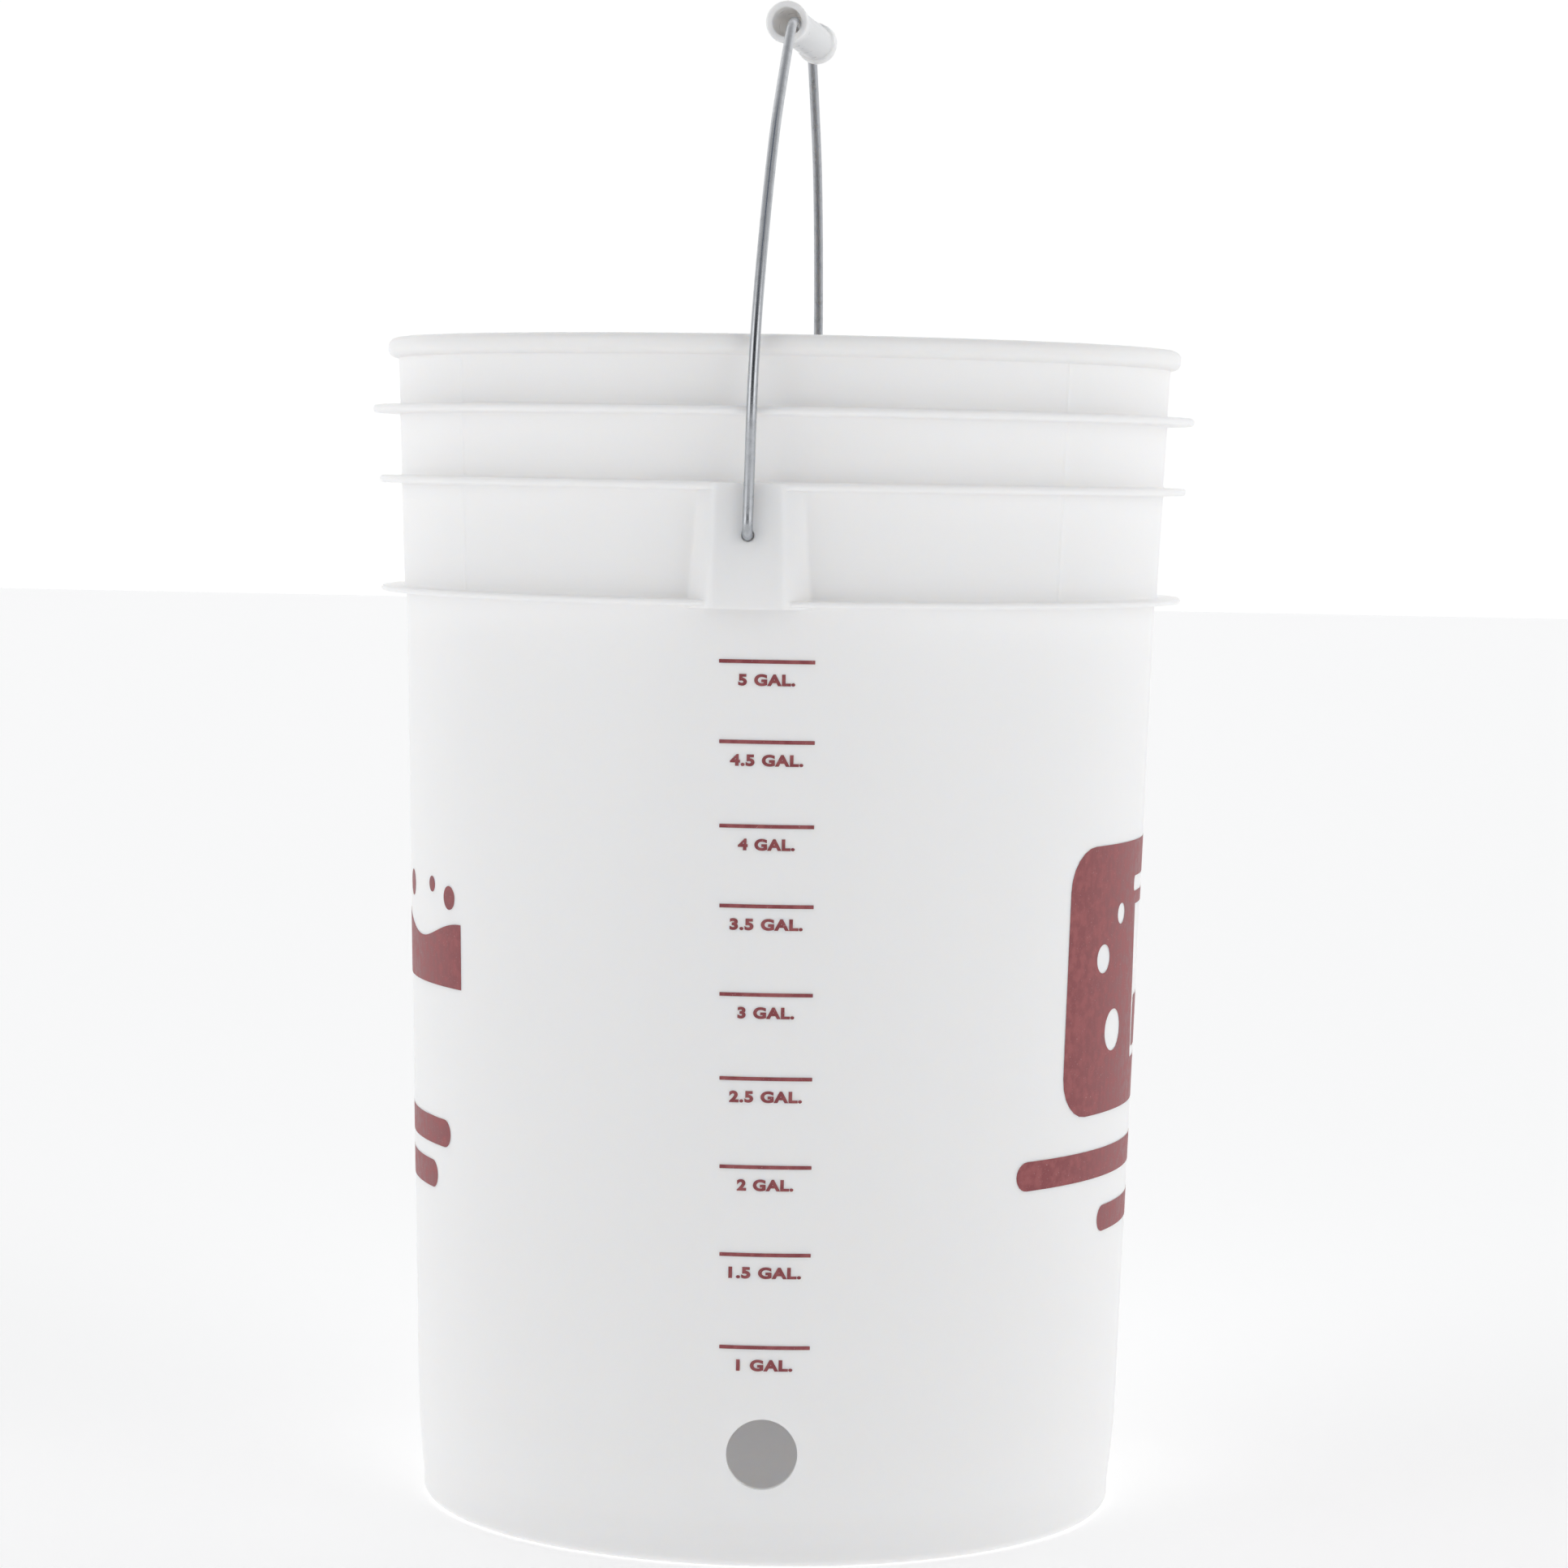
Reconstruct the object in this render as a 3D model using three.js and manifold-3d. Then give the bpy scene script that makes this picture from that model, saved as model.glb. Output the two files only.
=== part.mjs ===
// Plastic fermenting bucket: an injection-moulded pail with a drilled spigot hole,
// a swinging wire bail and a loose roller grip. Millimetres, +Z up, ears on the Y axis,
// origin at the centre of the foot ring, on the surface that the bucket stands on.
import * as THREE from 'three';
import { mergeVertices } from 'three/addons/utils/BufferGeometryUtils.js';
import Module from 'manifold-3d';

const wasm = await Module();
wasm.setup();

// ---- Driving dimensions ----------------------------------------------------------------
const ROUND_SEGMENTS = 64;
const RAD = Math.PI / 180;

// Pail wall: a cone below the lowest ring and a slightly wider nesting section above it.
const WALL = 2.3;
const BODY_RADIUS_AT_FOOT = 135.7;
const BODY_TAPER = 0.0267;
const NECK_TAPER = 0.037;
const NECK_RADIUS = 145.9;
const RIM_TOP = 448.5;
const RIM_RADIUS = 153.2;
const RIM_HEIGHT = 7.9;
const RIM_CORNER = 3.2;
const RIM_LIP = 0.8;

// Stiffening rings, from the top down.
const TOP_RING = { z: 421.3, radius: 158.9, thickness: 3.0 };
const MIDDLE_RING = { z: 394.5, radius: 156.2, thickness: 2.9 };
const LOW_RING = { z: 352.7, radius: 154.9, thickness: 2.0 };

// Foot ring, the pinch above it, and the raised floor.
const FOOT_RADIUS = 134.2;
const FOOT_INNER_RADIUS = 129.0;
const FOOT_CORNER = 3.4;
const FOOT_HEIGHT = 8.4;
const PINCH = [{ z: 17, inset: 0.85 }, { z: 28, inset: 0.25 }, { z: 40, inset: 0 }];
const FLOOR_UNDERSIDE = 10;
const FLOOR_THICKNESS = 2.8;
const FLOOR_FILLET = 6;

// Spigot hole, drilled through the wall a little to the right of the front ear.
const SPIGOT_HOLE = { diameter: 26, z: 42.6, azimuth: 3.8 };

// Ears: hollow boxes between the middle and low rings, open beneath.
const PIVOT_HEIGHT = 377;
const EAR_FACE = 156.5;
const EAR_FACE_HALF_WIDTH = 12;
const EAR_HALF_WIDTH_TOP = 20.8;
const EAR_HALF_WIDTH_BOTTOM = 22.5;
const EAR_BOTTOM = 350.5;
const EAR_WALL = 2.2;
const EAR_ROOT = 138;
const EAR_HOLE_DIAMETER = 5.2;

// Wire bail, pivoting about the Y axis, and leaning a little at rest.
const WIRE_DIAMETER = 3.76;
const WIRE_SIDES = 8;
const WIRE_STEPS = 200;
const BAIL_LEAN = 1.36;
const BAIL_TOP = 192.1;
const WIRE_END = 150.4;
const WIRE_HEAD = { diameter: 7, thickness: 1.6 };
const BAIL_PIVOT_RUN = 156.4;
const BAIL_HALF = [
  [158.0, 0.8], [158.8, 2.8], [158.9, 8], [159.4, 20], [161.2, 43], [160.6, 56], [156.8, 73],
  [150.2, 89], [141.2, 105], [128.9, 123.6], [108.6, 147.6], [86.1, 166], [68.9, 178.6],
  [61.0, 184.2], [54.5, 188.4], [47.5, 191.2],
];

// Roller grip: a thin spool that hangs loose and a little askew on the wire.
const GRIP_LENGTH = 86;
const GRIP_TUBE_RADIUS = 6.75;
const GRIP_END_RADIUS = 8;
const GRIP_BORE_RADIUS = 5.5;
const GRIP_FLARE = 7;
const GRIP_SKEW = 3.7;
const GRIP_SAG = 0.3;

// ---- Helpers ---------------------------------------------------------------------------

/** Points on an arc in the (radius, height) plane, from one angle to another in degrees. */
function arc(radius, height, size, from, to, count) {
  const points = [];
  for (let i = 0; i <= count; i += 1) {
    const angle = (from + (to - from) * (i / count)) * RAD;
    points.push([radius + size * Math.cos(angle), height + size * Math.sin(angle)]);
  }
  return points;
}

/** A solid of revolution about +Z from a list of [radius, height] points. */
function revolve(outline, segments = ROUND_SEGMENTS) {
  const profile = outline.map(([radius, height]) => new THREE.Vector2(radius, height));
  return new THREE.LatheGeometry(profile, segments).rotateX(Math.PI / 2);
}

/** A manifold solid from a closed three.js geometry. */
function solid(geometry) {
  const bare = geometry.clone();
  bare.deleteAttribute('normal');
  bare.deleteAttribute('uv');
  const merged = mergeVertices(bare);
  const index = merged.index.array;
  const triangles = [];
  for (let i = 0; i < index.length; i += 3) {
    const [a, b, c] = [index[i], index[i + 1], index[i + 2]];
    if (a !== b && b !== c && c !== a) triangles.push(a, b, c);
  }
  return new wasm.Manifold(new wasm.Mesh({
    numProp: 3,
    vertProperties: new Float32Array(merged.attributes.position.array),
    triVerts: new Uint32Array(triangles),
  }));
}

/** A three.js geometry from a manifold solid. */
function geometryOf(body) {
  const mesh = body.getMesh();
  const geometry = new THREE.BufferGeometry();
  geometry.setAttribute('position', new THREE.BufferAttribute(mesh.vertProperties, mesh.numProp));
  geometry.setIndex(new THREE.BufferAttribute(mesh.triVerts, 1));
  geometry.computeVertexNormals();
  return geometry;
}

/** A rod along the Y axis between two stations, centred at a height. */
function rodAlongY(diameter, yFrom, yTo, height, segments) {
  const rod = new THREE.CylinderGeometry(diameter / 2, diameter / 2, Math.abs(yTo - yFrom), segments);
  return rod.translate(0, (yFrom + yTo) / 2, height);
}

// ---- Bucket shell ----------------------------------------------------------------------

/** Outer radius of the conical body at a height, without the pinch at its foot. */
function bodyRadius(z) {
  return BODY_RADIUS_AT_FOOT + BODY_TAPER * z;
}

/** Outer radius of the nesting section above the low ring. */
function neckRadius(z) {
  return NECK_RADIUS + NECK_TAPER * (z - LOW_RING.z);
}

/** Outline of a stiffening ring, from the wall below it, round its lip, to the wall above. */
function ringOutline(ring, radiusBelow, radiusAbove) {
  const half = ring.thickness / 2;
  return [
    [radiusBelow, ring.z - half],
    ...arc(ring.radius - half, ring.z, half, -90, 90, 4),
    [radiusAbove, ring.z + half],
  ];
}

/** Outline of the rim bead, from the wall below it to its top edge. */
function rimOutline() {
  const bottom = RIM_TOP - RIM_HEIGHT;
  const centre = RIM_RADIUS - RIM_CORNER;
  return [
    [neckRadius(bottom), bottom],
    ...arc(centre, bottom + RIM_CORNER, RIM_CORNER, -90, 0, 4),
    ...arc(centre, RIM_TOP - RIM_CORNER, RIM_CORNER, 0, 90, 4),
  ];
}

/** Outline of the filled pail, from the axis beneath the floor to the axis at the rim. */
function outerOutline(rings) {
  const foot = [
    [0, FLOOR_UNDERSIDE],
    [FOOT_INNER_RADIUS, FLOOR_UNDERSIDE],
    [FOOT_INNER_RADIUS, 0],
    ...arc(FOOT_RADIUS - FOOT_CORNER, FOOT_CORNER, FOOT_CORNER, -90, 0, 4),
    [FOOT_RADIUS, FOOT_HEIGHT],
  ];
  const pinch = PINCH.map(({ z, inset }) => [bodyRadius(z) - inset, z]);
  const step = [[bodyRadius(LOW_RING.z), LOW_RING.z], [neckRadius(LOW_RING.z), LOW_RING.z + 1]];
  const low = rings ? ringOutline(LOW_RING, bodyRadius(LOW_RING.z), NECK_RADIUS) : step;
  const upper = [MIDDLE_RING, TOP_RING].flatMap((ring) => (
    rings ? ringOutline(ring, neckRadius(ring.z), neckRadius(ring.z)) : []
  ));
  return [...foot, ...pinch, ...low, ...upper, ...rimOutline(), [0, RIM_TOP]];
}

/** Outline of the space inside the pail, run past the rim. */
function innerOutline() {
  const floor = FLOOR_UNDERSIDE + FLOOR_THICKNESS;
  const corner = bodyRadius(floor) - PINCH[0].inset - WALL - FLOOR_FILLET;
  const [, , pinchEnd] = PINCH;
  return [
    [0, floor],
    ...arc(corner, floor + FLOOR_FILLET, FLOOR_FILLET, -90, 0, 5),
    [bodyRadius(pinchEnd.z) - WALL, pinchEnd.z],
    [bodyRadius(LOW_RING.z) - WALL, LOW_RING.z - 1],
    [neckRadius(LOW_RING.z) - WALL, LOW_RING.z + 2],
    [neckRadius(RIM_TOP) - WALL, RIM_TOP - RIM_LIP],
    [neckRadius(RIM_TOP) - WALL + RIM_LIP, RIM_TOP],
    [neckRadius(RIM_TOP) - WALL + RIM_LIP, RIM_TOP + 1],
    [0, RIM_TOP + 1],
  ];
}

/** One ear block: a flat face with sloping cheeks, wider at the bottom than at the top. */
function earBlock(side, top, bottom, inset) {
  const face = EAR_FACE - inset;
  const cheek = EAR_HALF_WIDTH_TOP - inset;
  const faceHalf = EAR_FACE_HALF_WIDTH - inset / 2;
  const wallLine = Math.sqrt((NECK_RADIUS + 1) ** 2 - EAR_HALF_WIDTH_TOP ** 2);
  const outline = new THREE.Shape();
  outline.moveTo(-cheek, EAR_ROOT);
  outline.lineTo(-cheek, wallLine);
  outline.quadraticCurveTo(-cheek + 2, face, -faceHalf, face);
  outline.lineTo(faceHalf, face);
  outline.quadraticCurveTo(cheek - 2, face, cheek, wallLine);
  outline.lineTo(cheek, EAR_ROOT);
  const block = new THREE.ExtrudeGeometry(outline, {
    depth: top - bottom,
    bevelEnabled: false,
    curveSegments: 5,
  }).translate(0, 0, bottom);
  const flare = (EAR_HALF_WIDTH_BOTTOM / EAR_HALF_WIDTH_TOP - 1) / (MIDDLE_RING.z - EAR_BOTTOM);
  const position = block.attributes.position;
  for (let i = 0; i < position.count; i += 1) {
    position.setX(i, position.getX(i) * (1 + flare * (MIDDLE_RING.z - position.getZ(i))));
  }
  return side > 0 ? block : block.rotateZ(Math.PI);
}

/** The moulded pail with its ears, wire holes and spigot hole. */
function bucketShell() {
  const plain = solid(revolve(outerOutline(false)));
  let shell = solid(revolve(outerOutline(true)));
  for (const side of [-1, 1]) {
    const block = earBlock(side, MIDDLE_RING.z, EAR_BOTTOM, 0);
    const ceiling = MIDDLE_RING.z - MIDDLE_RING.thickness / 2;
    const hollow = earBlock(side, ceiling, EAR_BOTTOM - 1, EAR_WALL);
    const hole = rodAlongY(EAR_HOLE_DIAMETER, side * 150, side * 160, PIVOT_HEIGHT, 24);
    shell = shell.add(solid(block)).subtract(solid(hollow).subtract(plain)).subtract(solid(hole));
  }
  shell = shell.subtract(solid(revolve(innerOutline())));
  const bit = rodAlongY(SPIGOT_HOLE.diameter, -120, -150, SPIGOT_HOLE.z, 32);
  return geometryOf(shell.subtract(solid(bit.rotateZ(SPIGOT_HOLE.azimuth * RAD))));
}

// ---- Bail and grip ---------------------------------------------------------------------

/** The wire's centre line: up one leg, over the top and down the other. */
function bailPath() {
  const near = BAIL_HALF.map(([half, height]) => new THREE.Vector3(0, -half, height));
  const far = BAIL_HALF.map(([half, height]) => new THREE.Vector3(0, half, height)).reverse();
  const start = [WIRE_END, 153.4, BAIL_PIVOT_RUN].map((half) => new THREE.Vector3(0, -half, 0));
  const end = [BAIL_PIVOT_RUN, 153.4, WIRE_END].map((half) => new THREE.Vector3(0, half, 0));
  const top = [-36, -12, 12, 36].map((y) => new THREE.Vector3(0, y, BAIL_TOP));
  return new THREE.CatmullRomCurve3([...start, ...near, ...top, ...far, ...end]);
}

/** The bail: one length of wire with an upset head on each end, behind the ear. */
function bailWire() {
  const section = new THREE.Shape();
  section.absarc(0, 0, WIRE_DIAMETER / 2, 0, 2 * Math.PI);
  const wire = new THREE.ExtrudeGeometry(section, {
    steps: WIRE_STEPS,
    curveSegments: WIRE_SIDES / 2,
    extrudePath: bailPath(),
  });
  let body = solid(wire);
  for (const side of [-1, 1]) {
    const { diameter, thickness } = WIRE_HEAD;
    const head = rodAlongY(diameter, side * WIRE_END, side * (WIRE_END + thickness), 0, 16);
    body = body.add(solid(head));
  }
  return geometryOf(body);
}

/** The roller: a thin tube with bell ends, open right through along Y. */
function handleGrip() {
  const half = GRIP_LENGTH / 2;
  const lip = 0.8;
  const bell = (side) => [
    [GRIP_TUBE_RADIUS, side * (half - GRIP_FLARE)],
    [GRIP_END_RADIUS - 0.25, side * (half - GRIP_FLARE + 0.6)],
    [GRIP_END_RADIUS, side * (half - lip)],
    [GRIP_END_RADIUS, side * half],
  ];
  const outline = [
    [GRIP_BORE_RADIUS, -half],
    ...bell(-1).reverse(),
    ...bell(1),
    [GRIP_BORE_RADIUS, half],
    [GRIP_BORE_RADIUS, -half],
  ];
  const profile = outline.map(([radius, height]) => new THREE.Vector2(radius, height));
  return new THREE.LatheGeometry(profile, 32);
}

// ---- Assembly --------------------------------------------------------------------------

const hdpe = new THREE.MeshStandardMaterial({ color: 0xeeeeec, roughness: 0.45, metalness: 0 });
const steel = new THREE.MeshStandardMaterial({ color: 0xb9bec4, roughness: 0.3, metalness: 1 });
const gripWhite = new THREE.MeshStandardMaterial({ color: 0xf2f2f0, roughness: 0.4, metalness: 0 });

/** A named mesh. */
function piece(name, geometry, material) {
  const mesh = new THREE.Mesh(geometry, material);
  mesh.name = name;
  return mesh;
}

const bucket = new THREE.Group();
const bail = new THREE.Group();
const grip = new THREE.Group();
bail.position.z = PIVOT_HEIGHT;
bail.rotation.y = BAIL_LEAN * RAD;
grip.position.z = BAIL_TOP - GRIP_SAG;
grip.rotation.z = -GRIP_SKEW * RAD;
grip.add(piece('handle_grip', handleGrip(), gripWhite));
bail.add(piece('bail_wire', bailWire(), steel), grip);
bucket.add(piece('bucket_shell', bucketShell(), hdpe), bail);

export default bucket;
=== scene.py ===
"""Plastic fermenting bucket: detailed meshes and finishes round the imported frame.

Metres, +Z up, ears on the Y axis, origin at the centre of the foot ring. Azimuths are in
degrees from the front ear (-Y) towards +X.
"""

import logging
import math
from collections.abc import Callable
from dataclasses import dataclass, field
from enum import Enum

import bmesh
import bpy
import numpy as np
from mathutils import Matrix, Vector


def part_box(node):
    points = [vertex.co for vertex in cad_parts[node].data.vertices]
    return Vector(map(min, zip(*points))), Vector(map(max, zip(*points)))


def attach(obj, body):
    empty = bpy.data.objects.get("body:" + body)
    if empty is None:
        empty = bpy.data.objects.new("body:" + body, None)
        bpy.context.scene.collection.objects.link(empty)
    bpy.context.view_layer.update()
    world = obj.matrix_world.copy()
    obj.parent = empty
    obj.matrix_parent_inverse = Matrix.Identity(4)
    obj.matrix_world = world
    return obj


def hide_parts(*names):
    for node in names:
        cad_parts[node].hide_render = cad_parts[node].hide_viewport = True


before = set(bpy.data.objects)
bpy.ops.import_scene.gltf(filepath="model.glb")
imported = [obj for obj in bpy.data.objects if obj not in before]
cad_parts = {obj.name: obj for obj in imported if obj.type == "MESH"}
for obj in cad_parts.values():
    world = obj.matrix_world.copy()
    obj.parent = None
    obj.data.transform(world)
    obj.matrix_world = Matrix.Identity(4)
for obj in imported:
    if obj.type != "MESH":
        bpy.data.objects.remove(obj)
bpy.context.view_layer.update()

MM = 1e-3
LOG = logging.getLogger("bucket")

Outline = list[tuple[float, float]]


class Body(Enum):
    """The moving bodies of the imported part."""

    BUCKET = "bucket"
    BAIL = "bail"
    GRIP = "grip"


class Slot(Enum):
    """The record's material slots."""

    SHELL = "bucket_plastic"
    WIRE = "bail_steel"
    GRIP = "grip_plastic"


# ---- Outlines and meshes -----------------------------------------------------------------


def arc(across: float, height: float, size: float, start: float, end: float, steps: int) -> Outline:
    """Points along an arc in the (radius, height) plane.

    Args:
        across: Radius from the axis of the arc's centre.
        height: Height of the arc's centre.
        size: The arc's own radius.
        start: First angle in degrees, 0 pointing outwards.
        end: Last angle in degrees.
        steps: Number of chords.

    Returns:
        The points, first to last.
    """
    angles = [math.radians(start + (end - start) * i / steps) for i in range(steps + 1)]
    return [(across + size * math.cos(a), height + size * math.sin(a)) for a in angles]


def spread(first: tuple[float, float], last: tuple[float, float], pitch: float) -> Outline:
    """Evenly spaced points between two outline points, without the two themselves.

    Args:
        first: First point.
        last: Last point.
        pitch: About how far apart the points are.

    Returns:
        The points in between.
    """
    length = math.dist(first, last)
    count = max(1, round(length / pitch))
    return [
        tuple(a + (b - a) * i / count for a, b in zip(first, last)) for i in range(1, count)
    ]


def mesh_object(name: str, points: np.ndarray, faces: list[tuple[int, ...]]) -> bpy.types.Object:
    """A smooth-shaded mesh object in the scene.

    Args:
        name: The object's name.
        points: Vertex positions, one row each.
        faces: Vertex indices of each face, anticlockwise from outside.

    Returns:
        The new object.
    """
    mesh = bpy.data.meshes.new(name)
    mesh.from_pydata(points.tolist(), [], faces)
    mesh.validate()
    mesh.polygons.foreach_set("use_smooth", [True] * len(mesh.polygons))
    obj = bpy.data.objects.new(name, mesh)
    bpy.context.scene.collection.objects.link(obj)
    return obj


def lathe_points(outline: Outline, columns: np.ndarray) -> np.ndarray:
    """Grid of points from an outline turned about +Z, azimuth 0 at -Y.

    Args:
        outline: The [radius, height] points.
        columns: Azimuths in radians.

    Returns:
        An array of shape (outline points, columns, 3).
    """
    profile = np.array(outline)
    grid = np.empty((len(outline), len(columns), 3))
    grid[:, :, 0] = profile[:, :1] * np.sin(columns)
    grid[:, :, 1] = -profile[:, :1] * np.cos(columns)
    grid[:, :, 2] = profile[:, 1:]
    return grid


def closed_lathe(name: str, grid: np.ndarray, poles: tuple[float, float] | None) -> bpy.types.Object:
    """A closed body from a grid of outline points turned about +Z.

    Args:
        name: The object's name.
        grid: Points of shape (rows, columns, 3), the outline running anticlockwise.
        poles: Heights of the axis points before the first and after the last row, or None
            for an outline that closes on itself.

    Returns:
        The new object.
    """
    rows, columns, _ = grid.shape
    faces = []
    last_row = rows if poles is None else rows - 1
    for i in range(last_row):
        below, above = i * columns, ((i + 1) % rows) * columns
        for j in range(columns):
            k = (j + 1) % columns
            faces.append((below + j, below + k, above + k, above + j))
    points = grid.reshape(-1, 3)
    if poles is not None:
        first, last = len(points), len(points) + 1
        points = np.vstack([points, [[0, 0, poles[0]], [0, 0, poles[1]]]])
        top = (rows - 1) * columns
        for j in range(columns):
            k = (j + 1) % columns
            faces.append((k, j, first))
            faces.append((top + j, top + k, last))
    return mesh_object(name, points, faces)


def cut(target: bpy.types.Object, cutter: bpy.types.Object) -> None:
    """Cut one closed body out of another and delete the cutter.

    Args:
        target: The solid that is cut.
        cutter: The solid that is taken away, then deleted.
    """
    modifier = target.modifiers.new("cut", "BOOLEAN")
    modifier.operation = "DIFFERENCE"
    modifier.solver = "MANIFOLD"
    modifier.object = cutter
    graph = bpy.context.evaluated_depsgraph_get()
    mesh = bpy.data.meshes.new_from_object(target.evaluated_get(graph))
    target.modifiers.clear()
    old = target.data
    target.data = mesh
    bpy.data.meshes.remove(old)
    bpy.data.objects.remove(cutter)


def sharpen(obj: bpy.types.Object, degrees: float) -> None:
    """Smooth shading, with sharp edges where faces turn by more than an angle.

    Args:
        obj: The piece.
        degrees: Edges that turn by more than this stay sharp.
    """
    obj.data.polygons.foreach_set("use_smooth", [True] * len(obj.data.polygons))
    body = bmesh.new()
    body.from_mesh(obj.data)
    limit = math.radians(degrees)
    for edge in body.edges:
        edge.smooth = not (edge.is_manifold and edge.calc_face_angle() > limit)
    body.to_mesh(obj.data)
    body.free()


# ---- Finishes ----------------------------------------------------------------------------


@dataclass
class NodeSheet:
    """A material's node tree, with short ways to add and join nodes."""

    name: str
    material: bpy.types.Material = field(init=False)
    shader: bpy.types.ShaderNode = field(init=False)

    def __post_init__(self) -> None:
        """Make the material with its principled shader."""
        self.material = bpy.data.materials.new(self.name)
        self.material.use_nodes = True
        self.shader = self.material.node_tree.nodes["Principled BSDF"]

    def node(self, kind: str, inputs: dict | None = None, **settings: object) -> bpy.types.ShaderNode:
        """Add a node.

        Args:
            kind: The node's type name, without the ShaderNode prefix.
            inputs: Socket name or index to a value, or to an output socket to join.
            settings: The node's own properties.

        Returns:
            The new node.
        """
        made = self.material.node_tree.nodes.new("ShaderNode" + kind)
        for key, value in settings.items():
            setattr(made, key, value)
        for key, value in (inputs or {}).items():
            self.join(value, made.inputs[key])
        return made

    def join(self, value: object, socket: bpy.types.NodeSocket) -> None:
        """Link an output socket to an input, or set the input's value."""
        if isinstance(value, bpy.types.NodeSocket):
            self.material.node_tree.links.new(value, socket)
        else:
            socket.default_value = value

    def principled(self, **inputs: object) -> None:
        """Set or join the principled shader's sockets, underscores standing for spaces."""
        for key, value in inputs.items():
            self.join(value, self.shader.inputs[key.replace("_", " ")])

    def object_point(self, stretch: tuple[float, float, float] = (1, 1, 1)) -> bpy.types.NodeSocket:
        """The surface point in the object's own frame, scaled along each axis.

        Args:
            stretch: Scale along each axis.

        Returns:
            The stretched point.
        """
        place = self.node("TexCoord").outputs["Object"]
        mapping = self.node("Mapping", {"Vector": place, "Scale": stretch})
        return mapping.outputs["Vector"]

    def noise(self, point: bpy.types.NodeSocket, scale: float, detail: float = 3.0) -> bpy.types.NodeSocket:
        """A noise value from 0 to 1 at a point."""
        made = self.node("TexNoise", {"Vector": point, "Scale": scale, "Detail": detail})
        return made.outputs["Fac"]

    def span(self, value: bpy.types.NodeSocket, low: float, high: float,
             source: tuple[float, float] = (0.3, 0.7)) -> bpy.types.NodeSocket:
        """Map a value from its source range to low..high, clamped."""
        made = self.node("MapRange", {
            "Value": value, "From Min": source[0], "From Max": source[1],
            "To Min": low, "To Max": high,
        })
        return made.outputs["Result"]

    def blend(self, factor: object, first: tuple, second: tuple) -> bpy.types.NodeSocket:
        """Mix two colours by a factor.

        Args:
            factor: How much of the second colour.
            first: First colour.
            second: Second colour.

        Returns:
            The mixed colour.
        """
        made = self.node("Mix", data_type="RGBA")
        self.join(factor, made.inputs[0])
        self.join(first, made.inputs[6])
        self.join(second, made.inputs[7])
        return made.outputs[2]

    def bump(self, height: bpy.types.NodeSocket, strength: float, distance: float,
             under: bpy.types.NodeSocket | None = None) -> bpy.types.NodeSocket:
        """A bumped normal, laid over another one if given.

        Args:
            height: Height of the surface.
            strength: How strongly it shows.
            distance: Depth in metres.
            under: Bump below this one.

        Returns:
            The bent normal.
        """
        made = self.node("Bump", {"Height": height, "Strength": strength, "Distance": distance})
        if under is not None:
            self.join(under, made.inputs["Normal"])
        return made.outputs["Normal"]


@dataclass(frozen=True)
class Polyethylene:
    """Natural white polyethylene: cloudy and translucent, with a satin moulded skin."""

    name: str
    colour: tuple[float, float, float] = (0.945, 0.938, 0.937)
    cloud: tuple[float, float, float] = (0.935, 0.928, 0.925)
    translucency: float = 0.9
    depth: float = 3 * MM
    base_depth: float = 0.25 * MM
    roughness: tuple[float, float] = (0.33, 0.45)
    grain_strength: float = 0.12
    specks: bool = True

    def build(self) -> bpy.types.Material:
        """Make the material.

        Returns:
            The material.
        """
        sheet = NodeSheet(self.name)
        point = sheet.object_point()
        clouds = sheet.span(sheet.noise(point, 9.0), 0.0, 1.0)
        tint = sheet.blend(clouds, (*self.colour, 1), (*self.cloud, 1))
        if self.specks:
            cells = sheet.node("TexVoronoi", {"Vector": point, "Scale": 38.0})
            spot = sheet.span(cells.outputs["Distance"], 1.0, 0.0, (0.015, 0.024))
            chosen = sheet.node("SeparateColor", {"Color": cells.outputs["Color"]}).outputs[0]
            rare = sheet.span(chosen, 0.0, 0.55, (0.90, 0.905))
            dirt = sheet.node("Math", {0: spot, 1: rare}, operation="MULTIPLY").outputs[0]
            tint = sheet.blend(dirt, tint, (0.30, 0.29, 0.28, 1))
        height = sheet.node("SeparateXYZ", {0: point}).outputs["Z"]
        depth = sheet.span(height, self.base_depth, self.depth, (13.5 * MM, 22 * MM))
        scuffs = sheet.noise(sheet.object_point((1, 1, 0.12)), 160.0, 4.0)
        grain = sheet.noise(point, 900.0, 2.0)
        wave = sheet.noise(point, 14.0, 0.0)
        normal = sheet.bump(grain, self.grain_strength, 0.06 * MM)
        normal = sheet.bump(wave, 0.2, 0.5 * MM, normal)
        sheet.principled(
            Base_Color=tint,
            Roughness=sheet.span(scuffs, *self.roughness),
            Normal=normal,
            IOR=1.53,
            Subsurface_Weight=self.translucency,
            Subsurface_Radius=(1.0, 0.93, 0.85),
            Subsurface_Scale=depth,
        )
        return sheet.material


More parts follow.
